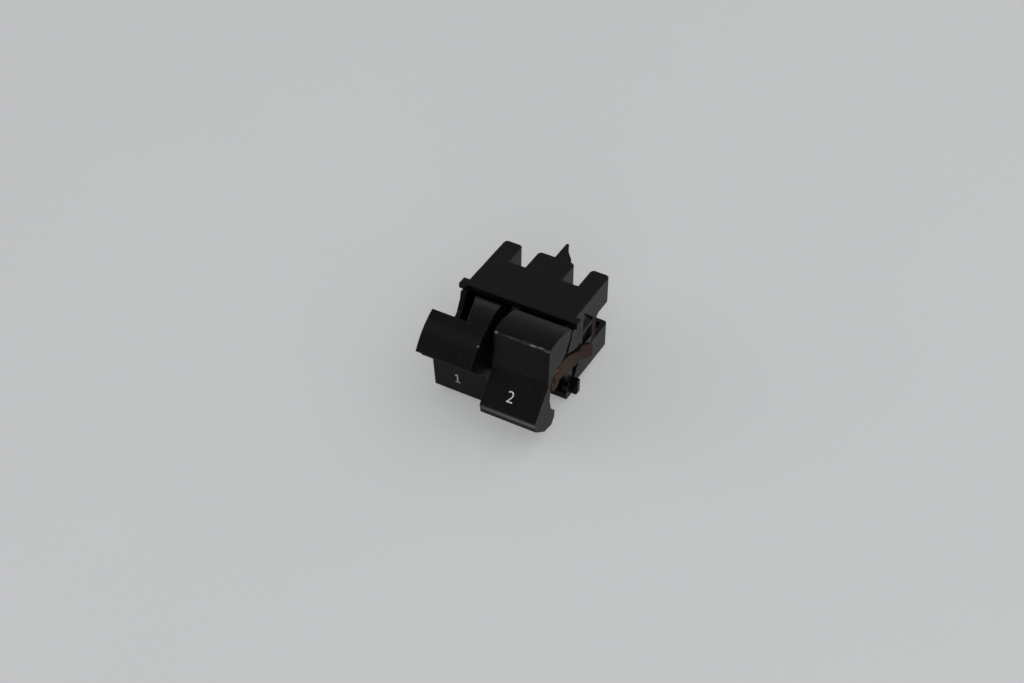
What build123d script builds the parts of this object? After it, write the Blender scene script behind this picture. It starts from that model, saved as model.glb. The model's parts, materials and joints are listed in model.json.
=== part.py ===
from build123d import *
import math
import os

# Two-key headlamp rocker switch, modelled in millimetres.
# +X is the width, +Y points from the keys to the terminals, +Z is up.
# Every piece is drawn about the keys' pivot axis (u = rearward, v = upward) and is
# moved to the part's frame at the end. Its origin is the bottom centre of the whole.

# ---- place of the pivot axis in the part's frame
PIVOT_Y = -16.87       # the keys' axis lies this far forward of the origin
PIVOT_Z = 21.09        # and this high, so that the lowest key just touches z = 0

# ---- housing: an upper and a lower tray with an open gap between them
HOUSING_W = 44.26      # across the trays' side walls
HOUSING_H = 33.0       # from the lower deck to the upper deck
UPPER_H = 11.5         # height of the upper tray
LOWER_H = 10.7         # height of the lower tray
DECK_T = 3.0           # deck plate
WALL = 2.0             # tray side walls
NECK_R = 18.4          # dust guard of each key, which sweeps under the deck edge
DECK_GAP = 0.272       # dust guard to the lower front edge of the upper deck
DECK_DEPTH = 30.6      # front edge to the tips of the upper prongs
NOTCH_DEPTH = 11.0     # notches between the prongs
NOTCH_W = 6.85
CENTRE_PRONG_W = 15.3
PRONG_R = 1.7          # rounded prong corners
EDGE_CUT = 0.4         # broken edge round each deck
SIDE_SETBACK = 6.4     # deck edge to the front of the upper side walls
SIDE_POST = 3.0        # width of the post in front of each side window
WINDOW_DROP = 0.3      # window's top edge below the deck plate
LUG_OUT = 2.4          # corner lugs stand out from the side walls
LUG_IN = 1.8           # and reach in under the deck
LUG_AHEAD = 0.4        # upper lugs stand this far in front of the deck edge
LUG_T = 3.4            # upper lug thickness front to rear
LUG_H = 2.6            # height of each upper lug
FOOT_T = 1.7           # lower lugs: plates behind the lip, thickness
FOOT_RISE = 3.6        # how far they rise beside the tray
FOOT_R = 1.2           # rounded lower corner
FIN_REACH = 9.3        # pointed coding fin behind the centre prong
FIN_T = 4.0
LIP_DROP = 3.2         # lip under the front of the lower tray
LIP_AHEAD = 2.4        # lip in front of the deck edge
LIP_T = 4.6
LIP_SETBACK = 0.6      # floor behind the lip's front face
HEEL_GAP = 0.5         # floor to the sweep of the keys' heels

# ---- bearing frame between the trays
FIT = 0.15             # gap between pieces that are assembled face to face
PLATE_T = 1.9          # side plates that carry the pin
PARTITION_T = 2.6      # partition between the keys
NOSE_R = 5.4           # round nose of each arm about the pin
PLATE_TOP = 14.9       # top corner of the plates, in front of the deck
PLATE_AHEAD = 2.7      # and how far in front of the deck it is
PLATE_SLOT = 1.5       # slot between a plate and the housing side behind it
GROOVE_W = 1.0         # groove that carries the slot on down the plate
GROOVE_T = 1.2         # its depth
GROOVE_FOOT = 4.4      # it stops this far above the lower tray
PAD_T = 1.2            # raised pad on the outside of each plate
PANEL_T = 0.6          # recessed panel behind each side window
RAIL_T = 1.4           # rail under each side window
BAR_SETBACK = 2.7      # cross bars: deck edge to their front face
BAR_T = 3.0            # cross bars: depth
BAR_H = 1.9            # cross bars: height

# ---- pivot pin
PIN_R = 1.5
PIN_SLIP = 0.06        # running clearance of the keys on the pin
PIN_HOLD = 0.03        # the pin in the frame
HEAD_R = 2.0
HEAD_T = 0.6

# ---- side strips
STRIP_T = 0.8
STRIP_NOSE_R = 2.9     # round the pin
STRIP_LAP = 1.7        # strips end beside the carrier, this far behind its front

# ---- keys
KEY_OVER = 2.17        # keys stand out past the housing's sides
KEY_GAP = 0.3          # inner face to the partition
KEY_THROW = 48.0       # degrees between the two positions
HUMP_R = 19.3          # top of the key is an arc about the pin
KEY_WALL = 1.8         # front skin
CHEEK_IN_T = 1.6
RELIEF_R = 6.6         # round cut-out of the cheek about the arm
HUB_R = 4.0
WEB_T = 1.6
NECK_FROM = 10.0       # angles of the dust guard about the pin
NECK_TO = 66.0
NECK_W_TOP = 7.4       # width of the neck at its top
NECK_FLARE = 0.445     # outer side: spread per millimetre further down
NECK_LEAN = 0.2        # inner side: lean away from the partition, the same way
NECK_WALL = 1.6
RIB_COUNT = 12         # grip ribs on the front face
RIB_H = 0.35
RIB_W = 0.9
TOE_R = 0.5

# ---- plungers, springs and rocking contacts
PLUNGER_R = 1.9
PLUNGER_SLIP = 0.06
BOSS_R = 3.2
BOSS_SHORT = 3.9       # bosses end this far inside the dust guard
BORE_FROM = 4.6
PLUNGER_FROM = 9.3
PLUNGER_OUT = 2.0      # tips stand out of the dust guard
TIP_R = 1.5
NOSE_L = 1.0           # straight part of each nose
SPRING_WIRE_R = 0.25
SPRING_TURNS = 3
ROCKER_TILT = 6.0      # each way
ROCKER_GAP = 0.4       # plunger tip to the rocker in mid position
ROCKER_T = 0.8
ROCKER_W = 4.4
ROCKER_HALF = 9.2      # half length of the rocker
ROCKER_BEND = 13.0     # degrees each wing leans forward
BEAD_R = 0.7
CONTACT_V = 7.6        # contacts above and below the axis
CONTACT_R = 1.4
CONTACT_GAP = 0.2      # closed contacts, drawn just apart

# ---- contact carrier and blade terminals
CARRIER_AHEAD = 4.7    # carrier board in front of the notches
CARRIER_T = 2.4
CARRIER_STEP = 3.1     # block of the carrier that fills the gap
BLADE_T = 0.8
BLADE_H = 6.3
BLADE_SHORT = 1.2      # blades end this far inside the prong tips
BLADE_INNER = 3.8      # innermost blades from the middle plane
BLADE_INSET = 1.83     # outermost blades from the side walls
TAB_H = 4.5

HALF_W = HOUSING_W / 2
TOP = HOUSING_H / 2
GAP_TOP = TOP - UPPER_H
GAP_BOTTOM = -TOP + LOWER_H
INNER_W = HALF_W - WALL
KEY_IN = PARTITION_T / 2 + KEY_GAP
KEY_OUT = HALF_W + KEY_OVER
PLUNGER_X = (CENTRE_PRONG_W + NOTCH_W) / 2
BLADE_X = (BLADE_INNER, PLUNGER_X, INNER_W - BLADE_INSET)
ARM_IN = HALF_W - PLATE_T - 0.1
ARM_OUT = ARM_IN + PLATE_T
CHEEK_FROM = HALF_W + 0.27
HUB_END = ARM_IN - 0.3
DECK_FRONT = math.sqrt((NECK_R + DECK_GAP) ** 2 - (TOP - DECK_T) ** 2)
PRONG_END = DECK_FRONT + DECK_DEPTH
NOTCH_FLOOR = PRONG_END - NOTCH_DEPTH
SIDE_FRONT = DECK_FRONT + SIDE_SETBACK
LUG_FRONT = DECK_FRONT - LUG_AHEAD
LIP_FRONT = DECK_FRONT - LIP_AHEAD
FOOT_FRONT = LIP_FRONT + LIP_T
FOOT_REAR = FOOT_FRONT + FOOT_T
BAR_U = DECK_FRONT + BAR_SETBACK
STRIP_IN = ARM_OUT + 0.1
STRIP_OUT = STRIP_IN + STRIP_T
CARRIER_U = NOTCH_FLOOR - CARRIER_AHEAD
CARRIER_REAR = CARRIER_U + CARRIER_T
STRIP_END = CARRIER_U + STRIP_LAP
BLADE_END = PRONG_END - BLADE_SHORT
BOSS_END = NECK_R - BOSS_SHORT
PLUNGER_TIP = NECK_R + PLUNGER_OUT
ROCKER_FACE = PLUNGER_TIP + ROCKER_GAP
ROCKER_BACK = ROCKER_FACE + ROCKER_T
BEAD_U = ROCKER_BACK + 0.2


def box(x0, x1, u0, u1, v0, v1):
    block = Box(x1 - x0, u1 - u0, v1 - v0)
    return Pos((x0 + x1) / 2, (u0 + u1) / 2, (v0 + v1) / 2) * block


def side_face(*points):
    """A straight-edged face in the plane of the side walls."""
    return make_face(Polyline(*points, close=True))


def slab(face, x0, x1):
    """A side face made solid from x0 to x1."""
    return extrude(Plane.YZ.offset(x0) * face, x1 - x0)


def axle(radius, x0, x1, u=0.0, v=0.0):
    """A round bar along X."""
    return slab(Pos(u, v) * Circle(radius), x0, x1)


def polar(radius, degrees):
    angle = math.radians(degrees)
    return (radius * math.cos(angle), radius * math.sin(angle))


def mirrored(shape):
    return mirror(shape, about=Plane.YZ)


def turned(shape, degrees, u=0.0, v=0.0):
    """The shape turned about an axis along X through (u, v)."""
    return Pos(0, u, v) * Rot(degrees, 0, 0) * Pos(0, -u, -v) * shape


# ---------------------------------------------------------------- housing
def deck_outline(prong_end, front):
    """Plan of a tray: a plate with three prongs behind it."""
    centre = CENTRE_PRONG_W / 2
    notch = centre + NOTCH_W
    floor = min(NOTCH_FLOOR, prong_end - 1)
    return make_face(Polyline(
        (-HALF_W, front), (-HALF_W, prong_end), (-notch, prong_end),
        (-notch, floor), (-centre, floor), (-centre, prong_end),
        (centre, prong_end), (centre, floor), (notch, floor),
        (notch, prong_end), (HALF_W, prong_end), (HALF_W, front), close=True))


def tray(height, prong_end, front, wall_front):
    """A shallow tray, open below and in front, with its deck on top at v = 0."""
    plan = deck_outline(prong_end, front)
    shell = Pos(0, 0, -height) * extrude(plan, height)
    shell = fillet(prong_corners(shell, prong_end), PRONG_R)
    shell = chamfer(shell.faces().sort_by(Axis.Z)[-1].edges(), EDGE_CUT)
    inner = offset(plan, -WALL, kind=Kind.INTERSECTION)
    depth = height - DECK_T
    shell -= Pos(0, 0, -height) * extrude(inner, depth)
    shell -= box(-HALF_W - 1, HALF_W + 1, front - 1, wall_front, -height - 1, -DECK_T)
    return shell


def prong_corners(shell, prong_end):
    ends = shell.edges().filter_by(Axis.Z)
    return ends.filter_by(lambda e: e.center().Y > prong_end - 0.01)


def lug(side):
    """A lug at a front corner of the upper tray, its top at v = 0."""
    x0, x1 = sorted((side * (HALF_W - LUG_IN), side * (HALF_W + LUG_OUT)))
    body = box(x0, x1, LUG_FRONT, LUG_FRONT + LUG_T, -LUG_H, 0)
    tip = body.edges().filter_by(Axis.Y).filter_by(lambda e: abs(e.center().X) > HALF_W)
    return chamfer(tip, 0.4)


def coding_fin():
    """A pointed fin behind the right half of the centre prong."""
    end = CENTRE_PRONG_W / 2
    plan = make_face(Polyline(
        (-0.8, PRONG_END - WALL), (-0.8, PRONG_END + FIN_REACH - 0.6),
        (-0.2, PRONG_END + FIN_REACH), (0.5, PRONG_END + FIN_REACH - 0.8),
        (1.6, PRONG_END + 5.6), (5.3, PRONG_END + 1.1), (end - 1, PRONG_END - WALL),
        close=True))
    return Pos(0, 0, -FIN_T) * extrude(plan, FIN_T)


def side_window():
    """Cut in the side walls of the upper tray with a sloping rear upper edge."""
    front = SIDE_FRONT + SIDE_POST
    rear = CARRIER_REAR
    under = -DECK_T - WINDOW_DROP
    face = side_face((front, under), (front + 0.8, under), (rear, -UPPER_H + 1.3),
                     (rear, -UPPER_H - 1), (front, -UPPER_H - 1))
    return slab(face, -HALF_W - 1, HALF_W + 1)


def sweep_clearance(radius):
    """Room for the keys about the pivot axis, between the side walls."""
    return axle(radius, -ARM_IN, ARM_IN)


def upper_shell():
    shell = tray(UPPER_H, PRONG_END, DECK_FRONT, SIDE_FRONT)
    shell += coding_fin()
    shell += lug(-1) + lug(1)
    shell -= side_window()
    shell = Pos(0, 0, TOP) * shell
    return shell - sweep_clearance(NECK_R + 0.5)


def lip():
    """Lip that reaches forward and down under the keys."""
    foot = box(-HALF_W, HALF_W, LIP_FRONT, FOOT_FRONT, -LIP_DROP, 0)
    front = foot.edges().filter_by(Axis.X).group_by(Axis.Y)[0].sort_by(Axis.Z)[0]
    return chamfer(front, 0.5)


def foot_lug(side):
    """A flat lug behind an end of the lip, level with its underside."""
    x0, x1 = sorted((side * (HALF_W - LUG_IN), side * (HALF_W + LUG_OUT)))
    body = box(x0, x1, FOOT_FRONT - 0.1, FOOT_REAR, -LIP_DROP, FOOT_RISE)
    ends = body.edges().filter_by(Axis.Y).filter_by(lambda e: abs(e.center().X) > HALF_W)
    return fillet(ends.sort_by(Axis.Z)[0], FOOT_R)


def side_sill():
    """Low front part of the lower tray's side walls, with a sloping top behind it."""
    sill = side_face((FOOT_FRONT, 0), (FOOT_FRONT, DECK_T), (FOOT_REAR, FOOT_RISE + 0.4),
                     (SIDE_FRONT + 0.1, LOWER_H - 2.6), (SIDE_FRONT + 0.1, 0))
    return slab(sill, INNER_W, HALF_W) + slab(sill, -HALF_W, -INNER_W)


def lower_shell():
    """Lower tray; its floor runs forward to the lip below the sweep of the keys' heels."""
    shell = tray(LOWER_H, PRONG_END, DECK_FRONT, SIDE_FRONT)
    shell = mirror(shell, about=Plane.XY) + side_sill()
    shell += foot_lug(-1) + foot_lug(1)
    shell = Pos(0, 0, -TOP) * (shell + lip())
    shell += box(-HALF_W, HALF_W, LIP_FRONT + LIP_SETBACK, FOOT_REAR, -TOP, -TOP + DECK_T)
    return shell - sweep_clearance(math.hypot(*HEEL) + HEEL_GAP)


# ---------------------------------------------------------------- frame
def plate_face(rear):
    """Outline of a side plate or the partition: a nose on the pin and a tall root."""
    top = TOP - DECK_T - FIT
    low = -TOP + DECK_T + FIT
    face = side_face(
        (0, -NOSE_R + 0.4), (0, NOSE_R), (5.2, 6.6), (7.4, 8.2), (DECK_FRONT - PLATE_AHEAD, PLATE_TOP),
        (DECK_FRONT - 0.4, PLATE_TOP), (DECK_FRONT - 0.4, top), (rear, top),
        (rear, low), (DECK_FRONT - 0.6, low), (11.4, -10.4), (8.2, -5.6))
    return face + Circle(NOSE_R)


def side_plate():
    """Right side plate with its rails in the gap between the trays."""
    rear = SIDE_FRONT - PLATE_SLOT
    plate = slab(plate_face(rear), ARM_IN, ARM_OUT)
    low_edge = GAP_BOTTOM + FIT
    plate -= box(ARM_IN - 1, ARM_OUT + 1, FOOT_FRONT - FIT, rear + 1, -TOP, low_edge)
    end = CARRIER_REAR - FIT
    gap_top = GAP_TOP - FIT
    plate += box(ARM_IN, ARM_OUT, rear - GROOVE_W, SIDE_FRONT + SIDE_POST, low_edge, gap_top)
    plate += box(ARM_IN, ARM_OUT, rear, end, gap_top - RAIL_T, gap_top)
    plate += box(ARM_IN, ARM_OUT, rear, end, low_edge, low_edge + 3.2)
    plate += window_panel(end, low_edge)
    groove = rear - GROOVE_W
    plate -= box(ARM_OUT - GROOVE_T, ARM_OUT + 1, groove, rear + 0.1, low_edge + GROOVE_FOOT, TOP)
    return plate + pad(groove)


def window_panel(end, low):
    """Recessed wall behind the side window, with a ramp above the rail."""
    front = SIDE_FRONT + SIDE_POST + FIT
    gap_top = GAP_TOP - FIT
    high = TOP - DECK_T - WINDOW_DROP - 2 * FIT
    face = side_face((front - 1, low), (front - 1, gap_top - 0.1), (front, gap_top - 0.1),
                     (front, high), (front + 0.5, high), (end, GAP_TOP + 1.3 - FIT), (end, low))
    ramp = Plane.XZ.offset(-front) * make_face(Polyline(
        (ARM_IN, gap_top - RAIL_T), (ARM_OUT, gap_top - RAIL_T), (ARM_OUT, gap_top - 0.1),
        (ARM_IN + PANEL_T, gap_top + 2.1), (ARM_IN, gap_top + 2.1), close=True))
    ramp = extrude(ramp, -(end - front))
    return slab(face, ARM_IN, ARM_IN + PANEL_T) + (ramp & slab(face, ARM_IN, ARM_OUT))


def pad(rear):
    """Raised pad on the outside of the right plate, between the lug and the strip."""
    top = TOP - DECK_T - FIT
    face = side_face((8.4, 5.4), (9.1, 7.0), (10.9, 10.2), (LUG_FRONT - 1, top),
                     (rear, top), (rear, 3.0), (rear - 1.6, 2.9))
    return slab(face, ARM_OUT - 0.1, ARM_OUT + PAD_T)


def bearing_frame():
    right = side_plate()
    half = PARTITION_T / 2
    frame = right + mirrored(right)
    frame += slab(plate_face(CARRIER_U - FIT), -half, half)
    top = TOP - DECK_T - FIT
    for v in (top - BAR_H, -top):
        frame += box(-ARM_OUT, ARM_OUT, BAR_U, BAR_U + BAR_T, v, v + BAR_H)
    frame -= axle(PIN_R + PIN_HOLD, -HALF_W - 1, HALF_W + 1)
    frame -= box(-ARM_OUT - 1, ARM_OUT + 1, FOOT_FRONT - FIT, BAR_U + BAR_T + 1,
                 -TOP, GAP_BOTTOM + FIT) - box(-INNER_W + FIT, INNER_W - FIT, 0, 99, -TOP, 0)
    return frame


# ---------------------------------------------------------------- pin and strips
def pivot_pin():
    reach = STRIP_OUT + 0.05
    pin = axle(PIN_R, -reach - 0.3, reach + 0.3)
    for side in (-1, 1):
        x0, x1 = sorted((side * reach, side * (reach + HEAD_T)))
        head = axle(HEAD_R, x0, x1)
        rim = head.edges().filter_by(GeomType.CIRCLE).sort_by(Axis.X)[-1 if side > 0 else 0]
        pin += chamfer(rim, HEAD_T / 2)
    return pin


def side_strip(side):
    """Copper strip from the pin back along the side, with a deep rear end."""
    end = STRIP_END
    face = side_face(
        (-2.4, 0.8), (0.8, 2.7), (3.7, 3.6), (9.9, 2.7), (end - 10.3, -1.7), (end - 8.2, -0.8),
        (end, -6.0), (end, -12.0), (end - 10.8, -5.9), (end - 13.2, -6.3), (8.0, -3.8),
        (3.6, -3.0), (1.6, -5.4), (-1.6, -5.6), (-3.2, -2.0))
    face += Circle(STRIP_NOSE_R)
    face -= Circle(PIN_R + PIN_HOLD)
    x0, x1 = sorted((side * STRIP_IN, side * STRIP_OUT))
    return slab(face, x0, x1)


# ---------------------------------------------------------------- keys
HUMP_BACK = polar(HUMP_R - 0.2, 62.9)
RIDGE = polar(HUMP_R + 0.9, 112.6)
CREASE = (-8.33, 2.49)
LABEL_END = (-18.1, -8.47)
TOE = (-17.23, -12.42)
SOLE = (-10.5, -17.5)
HEEL = (-4.9, -18.4)


def front_path():
    """Front of the key from the rear of the hump down to the heel."""
    hump = ThreePointArc(HUMP_BACK, polar(HUMP_R, 88), RIDGE)
    return [hump, Polyline(RIDGE, CREASE, LABEL_END, TOE, SOLE, HEEL)]


def cheek_face():
    """Side view of the key, cut out round the arm that carries it."""
    relief = RELIEF_R
    start = polar(relief, 188)
    end = polar(relief, 82)
    rear = [Polyline(HEEL, (-3.05, -16.0), (-2.63, -13.06), (-5.6, -9.94), (-6.9, -5.6), start),
            ThreePointArc(start, polar(relief, 135), end),
            Polyline(end, (4.2, 8.6), (7.6, 13.4), HUMP_BACK)]
    return make_face(Curve() + front_path() + rear)


def cavity_face():
    """Inside of the front skin, left open to the rear."""
    back = 16.0
    rear = Polyline(HEEL, (back, HEEL[1]), (back, HUMP_BACK[1]), HUMP_BACK)
    full = make_face(Curve() + front_path() + [rear])
    return offset(full, -KEY_WALL, kind=Kind.INTERSECTION)


def grip_ribs():
    """Fine ribs across the front face between the ridge and the crease."""
    slope = math.degrees(math.atan2(CREASE[1] - RIDGE[1], CREASE[0] - RIDGE[0]))
    half = RIB_W / 2
    ribs = []
    for i in range(RIB_COUNT):
        t = (i + 1.2) / (RIB_COUNT + 1.4)
        u = RIDGE[0] + t * (CREASE[0] - RIDGE[0])
        v = RIDGE[1] + t * (CREASE[1] - RIDGE[1])
        section = side_face((-half, half), (-half, 0), (0, -RIB_H), (half, 0), (half, half))
        section = Pos(u, v) * Rot(0, 0, slope) * section
        ribs.append(slab(section, KEY_IN + 0.8, KEY_OUT - 2.0))
    return ribs


def neck():
    """Hollow dust guard: a sector about the pin with one slanting side."""
    def wedge(radius, low, high, inset):
        sector = side_face((0, 0), polar(40, low), polar(40, (low + high) / 2), polar(40, high))
        body = slab(sector & Circle(radius), KEY_IN, KEY_IN + 22)
        top_x = KEY_IN + NECK_W_TOP - inset
        drop = 2 * NECK_R
        side_x = KEY_IN + inset
        plan = make_face(Polyline((side_x, NECK_R), (top_x, NECK_R),
                                  (top_x + NECK_FLARE * drop, NECK_R - drop),
                                  (side_x + NECK_LEAN * drop, NECK_R - drop), close=True))
        return body & (Plane.XZ.offset(-40) * extrude(plan, 80))
    outer = wedge(NECK_R, NECK_FROM, NECK_TO, 0)
    inner = wedge(NECK_R - NECK_WALL, NECK_FROM - 20, NECK_TO + 30, NECK_WALL)
    return outer - inner


def plunger_axis(start, end, radius):
    """A round bar along the plunger's line, in mid position rearwards."""
    bar = Pos(PLUNGER_X, (start + end) / 2, 0) * Rot(90, 0, 0) * Cylinder(radius, end - start)
    return turned(bar, -KEY_THROW / 2)


def key():
    """Right key with its label end out; the left key is its mirror image."""
    shell = slab(cheek_face(), KEY_IN, KEY_OUT)
    front = shell.edges().filter_by(Axis.X)
    toe = front.filter_by(lambda e: e.center().Z < -8 and e.center().Y < -15)
    shell = fillet(toe, TOE_R)
    cavity = slab(cavity_face(), KEY_IN + CHEEK_IN_T, CHEEK_FROM)
    shell -= cavity
    web = side_face((-8.0, 10.0), (-2.0, 13.0), (3.4, 3.0), (3.4, -3.0), (-3.0, -8.0), (-10.0, -3.0))
    web = web & cheek_full_face()
    for x in (KEY_IN, HUB_END - WEB_T):
        shell += slab(web, x, x + WEB_T)
    shell += axle(HUB_R, KEY_IN, HUB_END)
    shell += neck()
    shell += plunger_axis(HUB_R - 1, BOSS_END, BOSS_R)
    shell -= plunger_axis(BORE_FROM, BOSS_END + 1, PLUNGER_R + PLUNGER_SLIP)
    shell -= axle(PIN_R + PIN_SLIP, KEY_IN - 1, HUB_END + 1)
    for rib in grip_ribs():
        shell += rib
    return shell


def cheek_full_face():
    """Side view of the key without the cut-out, to trim the webs."""
    rear = Polyline(HEEL, (8.0, 0.0), HUMP_BACK)
    return make_face(Curve() + front_path() + [rear])


# ---------------------------------------------------------------- plungers and contacts
def plunger():
    """Plunger with a tapered nose that slides in the key's boss."""
    shoulder = PLUNGER_TIP - TIP_R - NOSE_L
    body = Pos(0, 0, PLUNGER_FROM) * Cylinder(
        PLUNGER_R, shoulder - PLUNGER_FROM, align=(Align.CENTER, Align.CENTER, Align.MIN))
    body += Pos(0, 0, shoulder) * Cylinder(
        TIP_R, NOSE_L, align=(Align.CENTER, Align.CENTER, Align.MIN))
    body += Pos(0, 0, shoulder + NOSE_L) * Cone(
        TIP_R, TIP_R / 2, TIP_R, align=(Align.CENTER, Align.CENTER, Align.MIN))
    return turned(Pos(PLUNGER_X, 0, 0) * Rot(-90, 0, 0) * body, -KEY_THROW / 2)


def plunger_spring():
    length = PLUNGER_FROM - BORE_FROM - 2 * SPRING_WIRE_R - 0.2
    coil = Helix(length / SPRING_TURNS, length, PLUNGER_R - SPRING_WIRE_R - 0.15)
    section = Plane(coil @ 0, z_dir=coil % 0) * RegularPolygon(SPRING_WIRE_R, 4)
    wire = sweep(section, path=coil, is_frenet=True)
    wire = Pos(0, 0, BORE_FROM + SPRING_WIRE_R + 0.1) * wire
    return turned(Pos(PLUNGER_X, 0, 0) * Rot(-90, 0, 0) * wire, -KEY_THROW / 2)


def rocker_contact():
    """Bent rocking contact in mid position, on a bead that sits in the feed blade."""
    lean = math.tan(math.radians(ROCKER_BEND)) * ROCKER_HALF
    half = ROCKER_W / 2
    face = side_face(
        (ROCKER_FACE, 0), (ROCKER_FACE - lean, ROCKER_HALF), (ROCKER_BACK - lean, ROCKER_HALF),
        (ROCKER_BACK, 0), (ROCKER_BACK - lean, -ROCKER_HALF), (ROCKER_FACE - lean, -ROCKER_HALF))
    contact = slab(face, PLUNGER_X - half, PLUNGER_X + half)
    contact += axle(BEAD_R, PLUNGER_X - half, PLUNGER_X + half, BEAD_U)
    for v in (-CONTACT_V, CONTACT_V):
        contact += button(button_back() - 1.4, button_back(), v)
    return contact


def button_back():
    """Rear face of the rocker's contact buttons in mid position."""
    return ROCKER_BACK - math.tan(math.radians(ROCKER_BEND)) * CONTACT_V + 1.0


def fixed_face():
    """Face of the fixed contacts, just clear of a closed button."""
    swing = math.sin(math.radians(ROCKER_TILT)) * CONTACT_V
    return button_back() + swing + CONTACT_GAP


def button(u0, u1, v):
    return Pos(PLUNGER_X, (u0 + u1) / 2, v) * Rot(90, 0, 0) * Cylinder(CONTACT_R, u1 - u0)


def blade(x, start):
    """Flat blade through the carrier with a chamfered tip behind it."""
    half = BLADE_H / 2
    face = side_face((start, -half), (start, half), (BLADE_END - 1.5, half),
                     (BLADE_END, half - 1.2), (BLADE_END, -half + 1.2), (BLADE_END - 1.5, -half))
    return slab(face, x - BLADE_T / 2, x + BLADE_T / 2)


def feed_terminal():
    """Middle blade; its front edge has the notch for the rocker's bead."""
    body = blade(BLADE_X[1], BEAD_U + 0.3)
    return body - axle(BEAD_R + 0.1, BLADE_X[1] - 1, BLADE_X[1] + 1, BEAD_U)


def contact_terminal(x, level):
    """Blade with a tab bent across in front, behind one wing of the rocker."""
    tab_front = fixed_face() + 0.5
    body = blade(x, tab_front)
    far = level * (CONTACT_V + TAB_H / 2)
    near = level * (BLADE_H / 2 - 1)
    low, high = sorted((near, far))
    body += box(x - BLADE_T / 2, x + BLADE_T / 2, tab_front, tab_front + 2.8, low, high)
    reach = PLUNGER_X + math.copysign(CONTACT_R + 0.5, PLUNGER_X - x)
    x0, x1 = sorted((x + math.copysign(BLADE_T / 2, x - PLUNGER_X), reach))
    low, high = sorted((far - level * TAB_H, far))
    body += box(x0, x1, tab_front, tab_front + BLADE_T, low, high)
    return body + button(fixed_face(), tab_front + 0.4, level * CONTACT_V)


def contact_carrier():
    """Moulded board behind the contacts, with a block that shows in the gap."""
    top = TOP - DECK_T - FIT
    board = box(-INNER_W + FIT, INNER_W - FIT, CARRIER_U, CARRIER_REAR, -top, top)
    board -= notch_reliefs(top)
    board += box(-HALF_W + 0.1, HALF_W - 0.1, CARRIER_REAR - FIT, CARRIER_REAR + CARRIER_STEP,
                 GAP_BOTTOM + FIT, GAP_TOP - FIT)
    for x in BLADE_X:
        for side in (-1, 1):
            slot = box(-BLADE_T / 2 - 0.03, BLADE_T / 2 + 0.03, 0, 60,
                       -BLADE_H / 2 - 0.05, BLADE_H / 2 + 0.05)
            board -= Pos(side * x, 0, 0) * slot
    return board


def notch_reliefs(top):
    """Room for the trays' notch walls, where they reach in front of the board."""
    reach = NOTCH_FLOOR - WALL - FIT
    if reach >= CARRIER_REAR:
        return []
    centre = CENTRE_PRONG_W / 2
    cuts = []
    for side in (-1, 1):
        x0, x1 = sorted((side * (centre - WALL - FIT), side * (centre + NOTCH_W + WALL + FIT)))
        for low, high in ((GAP_TOP - FIT, top + 1), (-top - 1, GAP_BOTTOM + FIT)):
            cuts.append(box(x0, x1, reach, CARRIER_REAR + 1, low, high))
    return cuts


# ---------------------------------------------------------------- assembly
def pieces():
    right_key = key()
    right_plunger = plunger()
    right_spring = plunger_spring()
    rocker = rocker_contact()
    parts = {
        "upper_shell": upper_shell(),
        "lower_shell": lower_shell(),
        "bearing_frame": bearing_frame(),
        "contact_carrier": contact_carrier(),
        "pivot_pin": pivot_pin(),
        "right_key": right_key,
        "left_key": turned(mirrored(right_key), KEY_THROW),
        "right_plunger": right_plunger,
        "left_plunger": turned(mirrored(right_plunger), KEY_THROW),
        "right_plunger_spring": right_spring,
        "left_plunger_spring": turned(mirrored(right_spring), KEY_THROW),
        "right_rocker_contact": turned(rocker, ROCKER_TILT, BEAD_U),
        "left_rocker_contact": turned(mirrored(rocker), -ROCKER_TILT, BEAD_U),
        "right_side_strip": side_strip(1),
        "left_side_strip": side_strip(-1),
    }
    for name, body in (("feed_terminal", feed_terminal()),
                       ("upper_terminal", contact_terminal(BLADE_X[2], 1)),
                       ("lower_terminal", contact_terminal(BLADE_X[0], -1))):
        parts["right_" + name] = body
        parts["left_" + name] = mirrored(body)
    return parts


os.makedirs("parts", exist_ok=True)
for node, shape in pieces().items():
    export_step(Pos(0, PIVOT_Y, PIVOT_Z) * shape, f"parts/{node}.step")
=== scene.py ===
import json
import math

import bpy
from mathutils import Matrix, Vector


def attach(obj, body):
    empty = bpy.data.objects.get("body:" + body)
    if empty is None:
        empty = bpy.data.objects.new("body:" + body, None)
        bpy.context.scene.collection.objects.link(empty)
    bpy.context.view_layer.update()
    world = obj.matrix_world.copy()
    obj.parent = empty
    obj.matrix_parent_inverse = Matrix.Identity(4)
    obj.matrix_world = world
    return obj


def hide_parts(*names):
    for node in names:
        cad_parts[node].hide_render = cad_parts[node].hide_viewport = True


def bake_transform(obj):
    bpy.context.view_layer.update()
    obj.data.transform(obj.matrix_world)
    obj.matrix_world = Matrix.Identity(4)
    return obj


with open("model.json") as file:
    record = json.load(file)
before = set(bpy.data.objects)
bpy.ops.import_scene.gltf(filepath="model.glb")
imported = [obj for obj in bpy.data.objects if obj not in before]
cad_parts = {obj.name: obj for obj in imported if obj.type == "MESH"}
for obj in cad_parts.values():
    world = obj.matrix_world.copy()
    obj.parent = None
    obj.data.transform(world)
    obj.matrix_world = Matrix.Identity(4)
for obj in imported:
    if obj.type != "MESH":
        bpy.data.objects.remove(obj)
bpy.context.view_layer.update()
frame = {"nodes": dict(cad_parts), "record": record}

MM = 0.001

# ---- camera
CAM_AZIMUTH = 28.6            # degrees towards +X from the front
CAM_ELEVATION = 40.8
CAM_ROLL = 0.7
CAM_DISTANCE = 700 * MM
CAM_LENS = 66.8
CAM_SENSOR = 36
CAM_NEAR = 10 * MM
CAM_AIM = Vector((-0.86, -6.45, 20.34)) * MM

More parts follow.
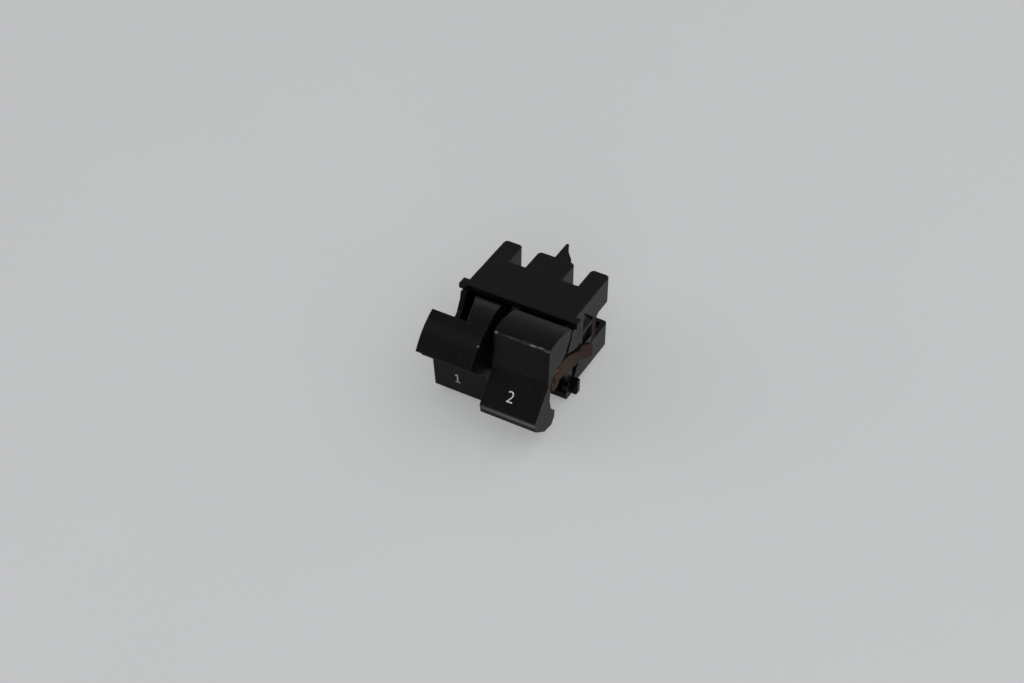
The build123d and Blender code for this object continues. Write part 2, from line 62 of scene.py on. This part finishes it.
# ---- how the part rests: on the lip of the lower shell and the tips of its prongs
LIP_BACK = Vector((0, -0.07, 1.39)) * MM
PRONG_TIP = Vector((0, 26.23, 4.59)) * MM

# ---- floor
FLOOR_SIZE = 6
FLOOR_TONES = ((0.545, 0.549, 0.556), (0.56, 0.5645, 0.571))
FLOOR_GLOW = (0.525, 0.532, 0.540)
FLOOR_SHARE = 0.45            # how far the floor looks lit by itself
FLOOR_SPECULAR = 0.2

# ---- light: name, place, size in metres and watts of each lamp, and the even light around
LAMPS = (
    ("lamp_front", (0.60, -1.50, 0.62), 1.1, 8.5),
    ("lamp_right", (1.20, -0.40, 0.95), 1.4, 5.0),
    ("lamp_back", (0.75, 1.00, 1.10), 1.4, 4.6),
    ("lamp_over", (0.62, 0.0, 1.55), 1.4, 3.8),
    ("lamp_left", (-1.50, -0.60, 0.70), 1.1, 6.0),
    ("lamp_band", (-0.47, -0.61, 1.04), 0.4, 0.35),
)
ROOM_TONE = (0.99, 1.0, 1.0)
ROOM_LEVEL = 0.49

# ---- keys, in degrees and mm; places are rearward and up from the pivot
KEY_THROW = 48.0
RIDGE = (-7.76, 18.65)        # where the hump meets the ribbed face
CREASE = (-8.33, 2.49)        # top edge of the label face
LABEL_END = (-18.1, -8.47)
LABEL_RIM = (-17.95, -9.3)    # middle of the chamfer under the label face
KEY_LOOKS = {                 # side: turn at rest, strength of the wear and of the painted highlight and reflection, one painted highlight spot (x, place, reach)
    1: (0, 1.0, (2.6, RIDGE, 0.8)),
    -1: (KEY_THROW, 0.15, (-1.75, (1.70, 18.96), 0.55)),
}
RIDGE_REACH = (0.15, 0.80)    # wear and painted highlight are full to the first distance, gone at the second
RIDGE_SPREAD = (12, 17)       # across the key, wear and painted highlight grow from the first place to the second
# reach and spread of the painted reflection band along the chamfer under the label
RIM_REACH = (0.35, 1.25)
RIM_SPREAD = (0, 24)

# ---- painted highlight and shade of the ribs on the keys, in mm
RIB_FIRST = 1.448             # first groove, down from the ridge
RIB_PITCH = 1.207
RIB_X = (2.5, 22.3)           # ends of the ribs, from the middle of the part
RIB_RUN = (0.9, 15.2)         # ends of the ribbed field, down from the ridge
RIB_FADE = 0.1
RIB_DEPTH = (0.45, 0.60)      # how far off the face's plane the ribs fade out
GROOVE_HALF = (0.14, 0.34)    # shares of the pitch: flat bottom, top of the groove's side

# ---- digits, which stand for the keys' legends, in mm
DIGIT_H = 4.4
DIGIT_T = 0.02
DIGIT_THIN = 0.07             # taken off the font's stroke on each side
FONT_SHARE = 0.7              # height of the font's digits in its size
DIGIT_ONE = ((-1.0, -2.2), (1.0, -2.2), (1.0, -1.7), (0.3, -1.7), (0.3, 2.2), (-0.2, 2.2),
             (-1.25, 1.4), (-0.95, 0.95), (-0.3, 1.45), (-0.3, -1.7), (-1.0, -1.7))
DIGIT_RIGHT_AT = (12.0, 8.3)  # from the middle of the part, and down from the crease
DIGIT_LEFT_AT = (14.2, 7.2)

# ---- plunger springs, in mm along the plunger's axis from the pivot
PLUNGER_X = 11.075
COIL_FROM = 4.95
COIL_TO = 8.95
COIL_R = 1.5
WIRE_R = 0.22
COIL_TURNS = 3
COIL_STEPS = 24               # points on the wire in each turn
WIRE_SIDES = 8

# ---- finishes; a pair of tones is the dark and the light of a mottled surface
PLASTIC_IOR = 1.195           # weak gloss, as worn black plastic has
COPPER_IOR = 1.12
BOARD_IOR = 1.15
METALLIC = 0.9
OXIDISED_METALLIC = 0.12
SHELL_TONES = ((0.0019, 0.0019, 0.0020), (0.0032, 0.0032, 0.0031))
SHELL_WORN = (0.03, 0.03, 0.03)
FRAME_TONES = ((0.0019, 0.0019, 0.0019), (0.0034, 0.0034, 0.0032))
FRAME_WORN = (0.03, 0.03, 0.029)
KEY_TONES = ((0.0017, 0.0018, 0.0018), (0.0030, 0.0031, 0.0030))
KEY_BRUSHED = (0.0075, 0.0075, 0.0074)
KEY_WORN = (0.06, 0.062, 0.06)
# painted highlight over the ribbed field, and painted shade in its grooves
RIB_PAINTED_HIGHLIGHT = (0.0098, 0.0100, 0.0098)
GROOVE_PAINTED_SHADE = (0.0026, 0.0026, 0.0026)
# ridge wear with a painted highlight, and the colour of the painted highlight spots
RIDGE_WEAR_AND_HIGHLIGHT = (0.24, 0.245, 0.24)
# painted reflection of the floor on the chamfer under the label
RIM_PAINTED_REFLECTION = (0.100, 0.102, 0.100)
STEEL_TONES = ((0.50, 0.50, 0.51), (0.30, 0.29, 0.28))
BRASS_TONES = ((0.46, 0.33, 0.15), (0.25, 0.165, 0.08))
BOARD_TONES = ((0.012, 0.0062, 0.0052), (0.022, 0.011, 0.009))
NYLON_TONES = ((0.006, 0.006, 0.0065), (0.010, 0.010, 0.0105))
COPPER_BROWN = (Vector((0.038, 0.021, 0.015)), Vector((0.060, 0.036, 0.026)))
COPPER_PURPLE = ((0.018, 0.0095, 0.0095), (0.030, 0.015, 0.0145))
COPPER_STREAK = (0.060, 0.030, 0.022)
COPPER_GRIME = (0.010, 0.0062, 0.0048)
# painted orange highlight on the strips and the pin, close to the pivot
COPPER_GLINT = Vector((0.20, 0.072, 0.026))
GLINT_PATCH = (0.5, 1.9)      # centre of the painted orange highlight, rearward and up from the pivot, in mm
PIN_LEVEL = 0.6               # the pin's copper tones over the strips'
INK_BRIGHT = ((0.62, 0.60, 0.50), (0.30, 0.29, 0.24))
INK_DIM = ((0.30, 0.295, 0.265), (0.14, 0.14, 0.125))
FINE_GRAIN = 5200             # noise scales are per metre
ROLLED = (350, 9000, 9000)    # noise scales along X, Y and Z that make fine lines
STRIP_ROLLED = (9000, 420, 9000)
BRUSHED = (2400, 150, 150)
RIDGE_STREAKS = (330, 900, 900)
RIM_STREAKS = (180, 900, 900)

nodes_of = frame["nodes"]
joints = {j["name"]: j for j in frame["record"]["behaviour"]["joints"]}
pivot = Vector(joints["right_key_hinge"]["pos_m"])


def turned(place, angle):
    """A (y, z) vector turned about X."""
    c, s = math.cos(angle), math.sin(angle)
    return (place[0] * c - place[1] * s, place[0] * s + place[1] * c)


def on_key(place, turn=0):
    """Place (y, z) in metres of a point of a key, given rearward and up from the pivot."""
    y, z = turned(place, math.radians(turn))
    return (pivot.y + y * MM, pivot.z + z * MM)


# ------------------------------------------------------------------ node helpers
class Tree:
    """A material's node tree, with short ways to add and link nodes."""

    def __init__(self, name):
        self.material = bpy.data.materials.new(name)
        self.material.use_nodes = True
        self.tree = self.material.node_tree
        self.shader = self.tree.nodes["Principled BSDF"]
        self.place = self.add("ShaderNodeTexCoord").outputs["Object"]

    def add(self, kind, **values):
        node = self.tree.nodes.new(kind)
        for key, value in values.items():
            setattr(node, key, value)
        return node

    def link(self, source, target):
        self.tree.links.new(source, target)

    def plug(self, value, socket):
        """Links a socket to another, or sets it to a number."""
        if isinstance(value, (int, float)):
            socket.default_value = value
        else:
            self.link(value, socket)

    def set(self, socket, value):
        """Sets one of the shader's own values."""
        self.shader.inputs[socket].default_value = value

    # ---- numbers
    def math(self, operation, a, b=0.0):
        node = self.add("ShaderNodeMath", operation=operation)
        self.plug(a, node.inputs[0])
        self.plug(b, node.inputs[1])
        return node.outputs[0]

    def product(self, first, *others):
        for other in others:
            first = self.math("MULTIPLY", first, other)
        return first

    def ramp(self, value, low, high, low_at=0.0, high_at=1.0):
        node = self.add("ShaderNodeMapRange")
        node.inputs["From Min"].default_value = low
        node.inputs["From Max"].default_value = high
        node.inputs["To Min"].default_value = low_at
        node.inputs["To Max"].default_value = high_at
        self.link(value, node.inputs["Value"])
        return node.outputs["Result"]

    def between(self, value, ends, fade):
        """1 between two ends in mm, 0 outside, with a short fade inside each end."""
        low, high = ends
        return self.math("MULTIPLY", self.ramp(value, low * MM, (low + fade) * MM),
                         self.ramp(value, (high - fade) * MM, high * MM, 1, 0))

    def noise(self, scale, detail=3.0, rough=0.55, where=None):
        node = self.add("ShaderNodeTexNoise")
        node.inputs["Scale"].default_value = scale
        node.inputs["Detail"].default_value = detail
        node.inputs["Roughness"].default_value = rough
        self.link(where or self.place, node.inputs["Vector"])
        return node.outputs["Fac"]

    def streaks(self, scales, detail, rough):
        """Noise with its own scale along each axis."""
        node = self.add("ShaderNodeMapping")
        node.inputs["Scale"].default_value = scales
        self.link(self.place, node.inputs["Vector"])
        return self.noise(1.0, detail, rough, node.outputs["Vector"])

    def mix(self, factor, a, b):
        node = self.add("ShaderNodeMix", data_type="RGBA")
        self.link(factor, node.inputs["Factor"])
        for socket, value in ((node.inputs[6], a), (node.inputs[7], b)):
            if isinstance(value, (tuple, Vector)):
                socket.default_value = (*value, 1)
            else:
                self.link(value, socket)
        return node.outputs[2]

    # ---- places
    def vector_math(self, operation, vector, other=None):
        node = self.add("ShaderNodeVectorMath", operation=operation)
        self.link(vector, node.inputs[0])
        if other is not None:
            node.inputs[1].default_value = other
        return node

    def from_place(self, start):
        return self.vector_math("SUBTRACT", self.place, start).outputs["Vector"]

    def from_line(self, y, z):
        """Distance from a line along X through (y, z), in metres."""
        flat = self.vector_math("MULTIPLY", self.from_place((0, y, z)), (0, 1, 1))
        return self.vector_math("LENGTH", flat.outputs["Vector"]).outputs["Value"]

    def from_point(self, x, y, z):
        """Distance from a point, in metres."""
        return self.vector_math("DISTANCE", self.place, (x * MM, y, z)).outputs["Value"]

    def along(self, start, direction):
        """Distance in metres from a point, measured along a direction."""
        off = self.from_place(start)
        return self.vector_math("DOT_PRODUCT", off, direction).outputs["Value"]

    def x_of(self, vector):
        node = self.add("ShaderNodeSeparateXYZ")
        self.link(vector, node.inputs["Vector"])
        return node.outputs["X"]

    # ---- the surface
    def face_normal(self):
        return self.add("ShaderNodeNewGeometry").outputs["True Normal"]

    def facing_front(self):
        """1 on faces that don't look sideways, 0 on the part's side faces."""
        sideways = self.math("ABSOLUTE", self.x_of(self.face_normal()))
        return self.ramp(sideways, 0.6, 0.9, 1.0, 0.0)

    def rounded(self, radius):
        node = self.add("ShaderNodeBevel", samples=8)
        node.inputs["Radius"].default_value = radius
        return node.outputs["Normal"]

    def edges(self, radius):
        """0 on flat faces, rising at sharp edges."""
        dot = self.vector_math("DOT_PRODUCT", self.rounded(radius))
        self.link(self.face_normal(), dot.inputs[1])
        return self.math("SUBTRACT", 1.0, dot.outputs["Value"])

    def bump(self, height, strength, depth, normal):
        node = self.add("ShaderNodeBump")
        node.inputs["Strength"].default_value = strength
        node.inputs["Distance"].default_value = depth
        self.link(height, node.inputs["Height"])
        self.link(normal, node.inputs["Normal"])
        return node.outputs["Normal"]

    def finish(self, colour, rough, normal=None):
        self.link(colour, self.shader.inputs["Base Color"])
        self.link(rough, self.shader.inputs["Roughness"])
        if normal is not None:
            self.link(normal, self.shader.inputs["Normal"])
        return self.material


# ------------------------------------------------------------------ materials
def moulded(name, tones, worn):
    """Black moulded plastic: fine grain, faint mottling and rubbed edges."""
    t = Tree(name)
    t.set("IOR", PLASTIC_IOR)
    colour = t.mix(t.ramp(t.noise(160, 4), 0.35, 0.65), *tones)
    patches = t.ramp(t.noise(420, 5, 0.7), 0.48, 0.68)
    rubbed = t.product(t.ramp(t.edges(0.22 * MM), 0.04, 0.22, 0, 0.5), patches)
    colour = t.mix(rubbed, colour, worn)
    gloss = t.ramp(t.noise(90, 3), 0.3, 0.7, 0.25, 0.36)
    grain = t.noise(FINE_GRAIN, 2, 0.5)
    return t.finish(colour, gloss, t.bump(grain, 0.10, 0.02 * MM, t.rounded(0.2 * MM)))


def sheet_metal(name, tones, rough):
    """Rolled strip with tarnish in patches and fine scratches along it."""
    t = Tree(name)
    t.set("Metallic", METALLIC)
    patches = t.ramp(t.noise(230, 5, 0.65), 0.38, 0.62)
    scratches = t.streaks(ROLLED, 3, 0.6)
    colour = t.mix(patches, *tones)
    colour = t.mix(t.ramp(scratches, 0.6, 0.75, 0, 0.35), colour, tones[0])
    gloss = t.ramp(patches, 0, 1, rough, rough + 0.18)
    return t.finish(colour, gloss, t.bump(scratches, 0.15, 0.01 * MM, t.rounded(0.1 * MM)))


def oxidised_copper(name, level=1.0):
    """Copper gone dark: brown by the pin with a painted orange highlight, purple towards the rear.
    """
    t = Tree(name)
    t.set("Metallic", OXIDISED_METALLIC)
    t.set("IOR", COPPER_IOR)
    cloud = t.ramp(t.noise(260, 5, 0.6), 0.36, 0.64)
    brown = t.mix(cloud, *(tone * level for tone in COPPER_BROWN))
    purple = t.mix(cloud, *COPPER_PURPLE)
    away = t.from_line(pivot.y, pivot.z)
    colour = t.mix(t.ramp(away, 6 * MM, 20 * MM), brown, purple)
    streaks = t.ramp(t.streaks(STRIP_ROLLED, 3, 0.6), 0.45, 0.75, 0, 0.45)
    colour = t.mix(streaks, colour, COPPER_STREAK)
    grimy = t.product(t.ramp(away, 3 * MM, 12 * MM, 0.85, 0.15),
                      t.ramp(t.noise(480, 5, 0.7), 0.46, 0.60))
    colour = t.mix(grimy, colour, COPPER_GRIME)
    # painted orange highlight close to the pin
    near = t.ramp(t.from_line(*on_key(GLINT_PATCH)), 0.4 * MM, 2.4 * MM, 0.8, 0.0)
    glint = t.product(near, t.ramp(t.noise(620, 4, 0.7), 0.44, 0.56))
    colour = t.mix(glint, colour, COPPER_GLINT * level)
    gloss = t.ramp(cloud, 0, 1, 0.50, 0.62)
    return t.finish(colour, gloss, t.bump(streaks, 0.15, 0.01 * MM, t.rounded(0.1 * MM)))


def phenolic():
    """Brown board with fine flecks."""
    t = Tree("phenolic_board")
    t.set("IOR", BOARD_IOR)
    flecks = t.ramp(t.noise(2600, 3, 0.7), 0.45, 0.62)
    gloss = t.ramp(t.noise(500, 3), 0.3, 0.7, 0.5, 0.62)
    return t.finish(t.mix(flecks, *BOARD_TONES), gloss,
                    t.bump(flecks, 0.2, 0.01 * MM, t.rounded(0.15 * MM)))


def nylon():
    """Smooth black nylon."""
    t = Tree("black_nylon")
    cloud = t.ramp(t.noise(700, 3), 0.35, 0.65)
    gloss = t.ramp(t.noise(400, 2), 0.3, 0.7, 0.38, 0.48)
    return t.finish(t.mix(cloud, *NYLON_TONES), gloss, t.rounded(0.15 * MM))


def legend_ink(name, tones):
    """Printed ink, rubbed thin in places."""
    t = Tree(name)
    thin = t.ramp(t.noise(2400, 4, 0.7), 0.42, 0.66)
    gloss = t.ramp(t.noise(1500, 2), 0.3, 0.7, 0.5, 0.65)
    return t.finish(t.mix(thin, *tones), gloss)


def key_plastic(side):
    """As the housing, with painted highlight and shade on the ribs, a worn ridge with a painted
    highlight, a painted highlight spot, and a painted reflection band under the label.
    """
    t = Tree("key_plastic_right" if side > 0 else "key_plastic_left")
    t.set("IOR", PLASTIC_IOR)
    turn, wear_and_sheen, spot = KEY_LOOKS[side]
    brushed = t.streaks(BRUSHED, 4, 0.7)
    colour = t.mix(t.ramp(t.noise(150, 4), 0.35, 0.65), *KEY_TONES)
    colour = t.mix(t.ramp(brushed, 0.52, 0.72, 0, 0.6), colour, KEY_BRUSHED)
    edge = t.ramp(t.edges(0.25 * MM), 0.015, 0.12)
    patches = t.ramp(t.noise(560, 6, 0.75), 0.47, 0.62)
    colour = t.mix(t.product(edge, patches, 0.5), colour, KEY_WORN)
    rib_highlight, groove_shade = rib_shading_masks(t, turn)
    # the ribbed field is painted lighter as highlight, its grooves darker as shade
    colour = t.mix(rib_highlight, colour, RIB_PAINTED_HIGHLIGHT)
    colour = t.mix(groove_shade, colour, GROOVE_PAINTED_SHADE)
    # the ridge's wear and painted highlight, and one painted highlight spot
    colour = t.mix(t.product(ridge_wear_and_highlight(t, turn, wear_and_sheen, spot), 0.65), colour, RIDGE_WEAR_AND_HIGHLIGHT)
    # painted reflection of the floor in a pale band along the chamfer under the label
    colour = t.mix(rim_reflection(t, turn, wear_and_sheen), colour, RIM_PAINTED_REFLECTION)
    gloss = t.math("ADD", t.ramp(t.noise(80, 3), 0.3, 0.7, 0.27, 0.34),
                   t.ramp(brushed, 0.35, 0.65, -0.03, 0.04))
    grain = t.noise(FINE_GRAIN, 2, 0.5)
    return t.finish(colour, gloss, t.bump(grain, 0.10, 0.02 * MM, t.rounded(0.12 * MM)))


def line_mask(t, place, turn, reach):
    """1 near a line across a key, 0 away from it."""
    full, gone = reach
    return t.ramp(t.from_line(*on_key(place, turn)), full * MM, gone * MM, 1.0, 0.0)


def ridge_wear_and_highlight(t, turn, wear_and_sheen, spot):
    """Mask of the wear and painted highlight along a key's ridge, and of one painted highlight
    spot.
    """
    first, last = RIDGE_SPREAD
    streaks = t.ramp(t.streaks(RIDGE_STREAKS, 5, 0.75), 0.44, 0.62, 0.10, 1.0)
    spread = t.ramp(t.x_of(t.place), first * MM, last * MM, 0.22, 1.0)
    line = t.product(line_mask(t, RIDGE, turn, RIDGE_REACH), streaks, spread,
                     t.facing_front(), wear_and_sheen)
    x, place, reach = spot
    near = t.from_point(x, *on_key(place, turn))
    return t.math("MAXIMUM", line, t.ramp(near, 0.1 * reach * MM, reach * MM, 1.0, 0.0))


def rim_reflection(t, turn, wear_and_sheen):
    """Mask of the painted reflection of the floor: a pale band along the chamfer under a key's
    label.
    """
    first, last = RIM_SPREAD
    return t.product(line_mask(t, LABEL_RIM, turn, RIM_REACH),
                     t.ramp(t.x_of(t.place), first * MM, last * MM, 0.7, 1.0),
                     t.ramp(t.streaks(RIM_STREAKS, 4, 0.6), 0.3, 0.7, 0.65, 1.0),
                     t.facing_front(), wear_and_sheen)


def rib_shading_masks(t, turn):
    """Masks of a key's ribbed field, painted lighter as highlight, and of the grooves in it,
    painted darker as shade.
    """
    slope = Vector((CREASE[0] - RIDGE[0], CREASE[1] - RIDGE[1])).normalized()
    start = (0, *on_key(RIDGE, turn))
    angle = math.radians(turn)
    run = t.along(start, (0, *turned(slope, angle)))
    depth = t.math("ABSOLUTE", t.along(start, (0, *turned((slope.y, -slope.x), angle))))
    field = t.product(
        t.ramp(depth, RIB_DEPTH[0] * MM, RIB_DEPTH[1] * MM, 1.0, 0.0),
        t.between(t.math("ABSOLUTE", t.x_of(t.place)), RIB_X, RIB_FADE),
        t.facing_front(),
        t.between(run, RIB_RUN, RIB_FADE))
    phase = t.math("ADD", t.product(run, 1 / (RIB_PITCH * MM)), 0.5 - RIB_FIRST / RIB_PITCH)
    off = t.math("ABSOLUTE", t.math("SUBTRACT", t.math("FRACT", phase), 0.5))
    return field, t.product(field, t.ramp(off, *GROOVE_HALF, 1.0, 0.0))


def dress_nodes():
    """Gives each CAD node the material of its slot in the record."""
    finishes = {
        "shell": moulded("shell_plastic", SHELL_TONES, SHELL_WORN),
        "frame": moulded("frame_plastic", FRAME_TONES, FRAME_WORN),
        "key": key_plastic(1),
        "carrier": phenolic(),
        "steel": sheet_metal("bright_steel", STEEL_TONES, 0.3),
        "copper": oxidised_copper("copper_strip"),
        "pin": oxidised_copper("pin_plating", PIN_LEVEL),
        "brass": sheet_metal("stamped_brass", BRASS_TONES, 0.36),
        "nylon": nylon(),
    }
    for part in frame["record"]["subparts"]:
        mesh = nodes_of[part["node"]].data
        mesh.materials.clear()
        mesh.materials.append(finishes[part["material_slot"]])
    nodes_of["left_key"].data.materials[0] = key_plastic(-1)


# ------------------------------------------------------------------ digits
def label_place(side, x, down):
    """Matrix of a point on a key's label face: x from the middle, down from the crease."""
    turn = Matrix.Rotation(math.radians(KEY_THROW if side < 0 else 0), 4, "X")
    crease = Vector((0, *CREASE)) * MM
    along = (Vector((0, *LABEL_END)) * MM - crease).normalized()
    right = Vector((1, 0, 0))
    up = -along
    out = right.cross(up)
    spot = crease + along * down * MM + right * side * x * MM
    basis = Matrix((right, up, out)).transposed().to_4x4()
    hinge = Matrix.Translation((0, pivot.y, pivot.z))
    return hinge @ turn @ Matrix.Translation(spot) @ basis


def font_mesh(name, text):
    """A digit from the built-in font, as a thin flat mesh."""
    curve = bpy.data.curves.new(name, "FONT")
    curve.body = text
    curve.size = DIGIT_H / FONT_SHARE * MM
    curve.extrude = DIGIT_T * MM
    curve.offset = -DIGIT_THIN * MM
    curve.align_x = "CENTER"
    curve.align_y = "CENTER"
    source = bpy.data.objects.new(name + "_curve", curve)
    mesh = bpy.data.meshes.new_from_object(source)
    bpy.data.objects.remove(source)
    return mesh


def outline_mesh(name, outline):
    """A thin flat mesh from an outline in mm."""
    count = len(outline)
    points = [(x * MM, y * MM, z * MM) for z in (-DIGIT_T, DIGIT_T) for x, y in outline]
    faces = [tuple(reversed(range(count))), tuple(range(count, 2 * count))]
    for k in range(count):
        after = (k + 1) % count
        faces.append((k, after, count + after, count + k))
    mesh = bpy.data.meshes.new(name)
    mesh.from_pydata(points, [], faces)
    return mesh


def digit(name, mesh, side, place, ink):
    """A flat printed digit that rides on its key."""
    piece = bpy.data.objects.new(name, mesh)
    bpy.context.collection.objects.link(piece)
    mesh.transform(label_place(side, *place))
    mesh.materials.clear()
    mesh.materials.append(ink)
    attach(piece, "right_key" if side > 0 else "left_key")


# ------------------------------------------------------------------ springs
def coil_mesh(name, seat, axis):
    """A coil of round wire about an axis, from COIL_FROM to COIL_TO."""
    across = axis.cross(Vector((1, 0, 0)))
    steps = COIL_TURNS * COIL_STEPS
    points = []
    for i in range(steps + 1):
        angle = 2 * math.pi * i / COIL_STEPS
        radial = Vector((1, 0, 0)) * math.cos(angle) + across * math.sin(angle)
        centre = seat + axis * (COIL_FROM + (COIL_TO - COIL_FROM) * i / steps) * MM
        for k in range(WIRE_SIDES):
            turn = 2 * math.pi * k / WIRE_SIDES
            off = radial * (COIL_R + WIRE_R * math.cos(turn)) + axis * WIRE_R * math.sin(turn)
            points.append(centre + off * MM)
    faces = [tuple(reversed(range(WIRE_SIDES)))]
    for i in range(steps):
        for k in range(WIRE_SIDES):
            a, b = i * WIRE_SIDES + k, i * WIRE_SIDES + (k + 1) % WIRE_SIDES
            faces.append((a, b, b + WIRE_SIDES, a + WIRE_SIDES))
    faces.append(tuple(range(steps * WIRE_SIDES, (steps + 1) * WIRE_SIDES)))
    mesh = bpy.data.meshes.new(name)
    mesh.from_pydata(points, [], faces)
    mesh.shade_smooth()
    return mesh


def spring(side):
    """A plunger's coil spring between the key and the plunger, in place of the modelled spring,
    which is hidden.
    """
    hand = "right" if side > 0 else "left"
    axis = Vector(joints[hand + "_plunger_slide"]["axis"])
    if axis.y < 0:
        axis = -axis
    seat = Vector((side * PLUNGER_X * MM, pivot.y, pivot.z))
    mesh = coil_mesh(hand + "_coil", seat, axis)
    mesh.materials.append(nodes_of[hand + "_plunger_spring"].data.materials[0])
    piece = bpy.data.objects.new(hand + "_coil", mesh)
    bpy.context.collection.objects.link(piece)
    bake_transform(piece)
    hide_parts(hand + "_plunger_spring")


# ------------------------------------------------------------------ stage
def floor():
    """Pale floor, laid at the slope on which the part rests as modelled."""
    bpy.ops.mesh.primitive_plane_add(size=FLOOR_SIZE)
    plane = bpy.context.object
    plane.name = "floor"
    slope = math.atan2(PRONG_TIP.z - LIP_BACK.z, PRONG_TIP.y - LIP_BACK.y)
    plane.rotation_euler = (slope, 0, 0)
    plane.location = LIP_BACK
    t = Tree("pale_floor")
    t.set("Specular IOR Level", FLOOR_SPECULAR)
    colour = t.mix(t.ramp(t.noise(6, 3), 0.3, 0.7), *FLOOR_TONES)
    gloss = t.ramp(t.noise(30, 3), 0.3, 0.7, 0.65, 0.75)
    plane.data.materials.append(t.finish(colour, gloss))
    show_pale(t)


def show_pale(t):
    """Makes the floor look part-lit by itself, which keeps its shadow faint, and light nothing."""
    glow = t.add("ShaderNodeEmission")
    glow.inputs["Color"].default_value = (*FLOOR_GLOW, 1)
    ray = t.add("ShaderNodeLightPath")
    seen = t.math("MAXIMUM", ray.outputs["Is Camera Ray"], ray.outputs["Is Glossy Ray"])
    both = t.add("ShaderNodeMixShader")
    t.link(t.product(seen, FLOOR_SHARE), both.inputs["Fac"])
    t.link(t.shader.outputs["BSDF"], both.inputs[1])
    t.link(glow.outputs["Emission"], both.inputs[2])
    t.link(both.outputs["Shader"], t.tree.nodes["Material Output"].inputs["Surface"])


def lamp(name, place, size, watts):
    """Soft square lamp that points at the part."""
    light = bpy.data.lights.new(name, "AREA")
    light.size = size
    light.energy = watts
    body = bpy.data.objects.new(name, light)
    bpy.context.collection.objects.link(body)
    body.location = place
    body.rotation_euler = (-Vector(place)).to_track_quat("-Z", "Y").to_euler()


def lights():
    """Broad soft light all round, mostly off the directions that decks and keys mirror."""
    for row in LAMPS:
        lamp(*row)
    world = bpy.data.worlds.new("room")
    world.use_nodes = True
    back = world.node_tree.nodes["Background"]
    back.inputs["Color"].default_value = (*ROOM_TONE, 1)
    back.inputs["Strength"].default_value = ROOM_LEVEL
    bpy.context.scene.world = world


def camera():
    """Camera at the photograph's viewing angle."""
    azimuth, elevation = math.radians(CAM_AZIMUTH), math.radians(CAM_ELEVATION)
    forward = Vector((-math.sin(azimuth) * math.cos(elevation),
                      math.cos(azimuth) * math.cos(elevation), -math.sin(elevation)))
    level = Vector((math.cos(azimuth), math.sin(azimuth), 0))
    upright = level.cross(forward)
    roll = math.radians(CAM_ROLL)
    right = level * math.cos(roll) + upright * math.sin(roll)
    up = upright * math.cos(roll) - level * math.sin(roll)
    data = bpy.data.cameras.new("camera")
    data.lens = CAM_LENS
    data.sensor_width = CAM_SENSOR
    data.clip_start = CAM_NEAR
    body = bpy.data.objects.new("camera", data)
    bpy.context.collection.objects.link(body)
    basis = Matrix((right, up, -forward)).transposed().to_4x4()
    body.matrix_world = Matrix.Translation(CAM_AIM - forward * CAM_DISTANCE) @ basis
    bpy.context.scene.camera = body


camera()
floor()
lights()
dress_nodes()
spring(1)
spring(-1)
digit("digit_right", font_mesh("two", "2"), 1, DIGIT_RIGHT_AT,
      legend_ink("ink_bright", INK_BRIGHT))
digit("digit_left", outline_mesh("one", DIGIT_ONE), -1, DIGIT_LEFT_AT,
      legend_ink("ink_dim", INK_DIM))
bpy.context.scene.view_settings.view_transform = "Standard"
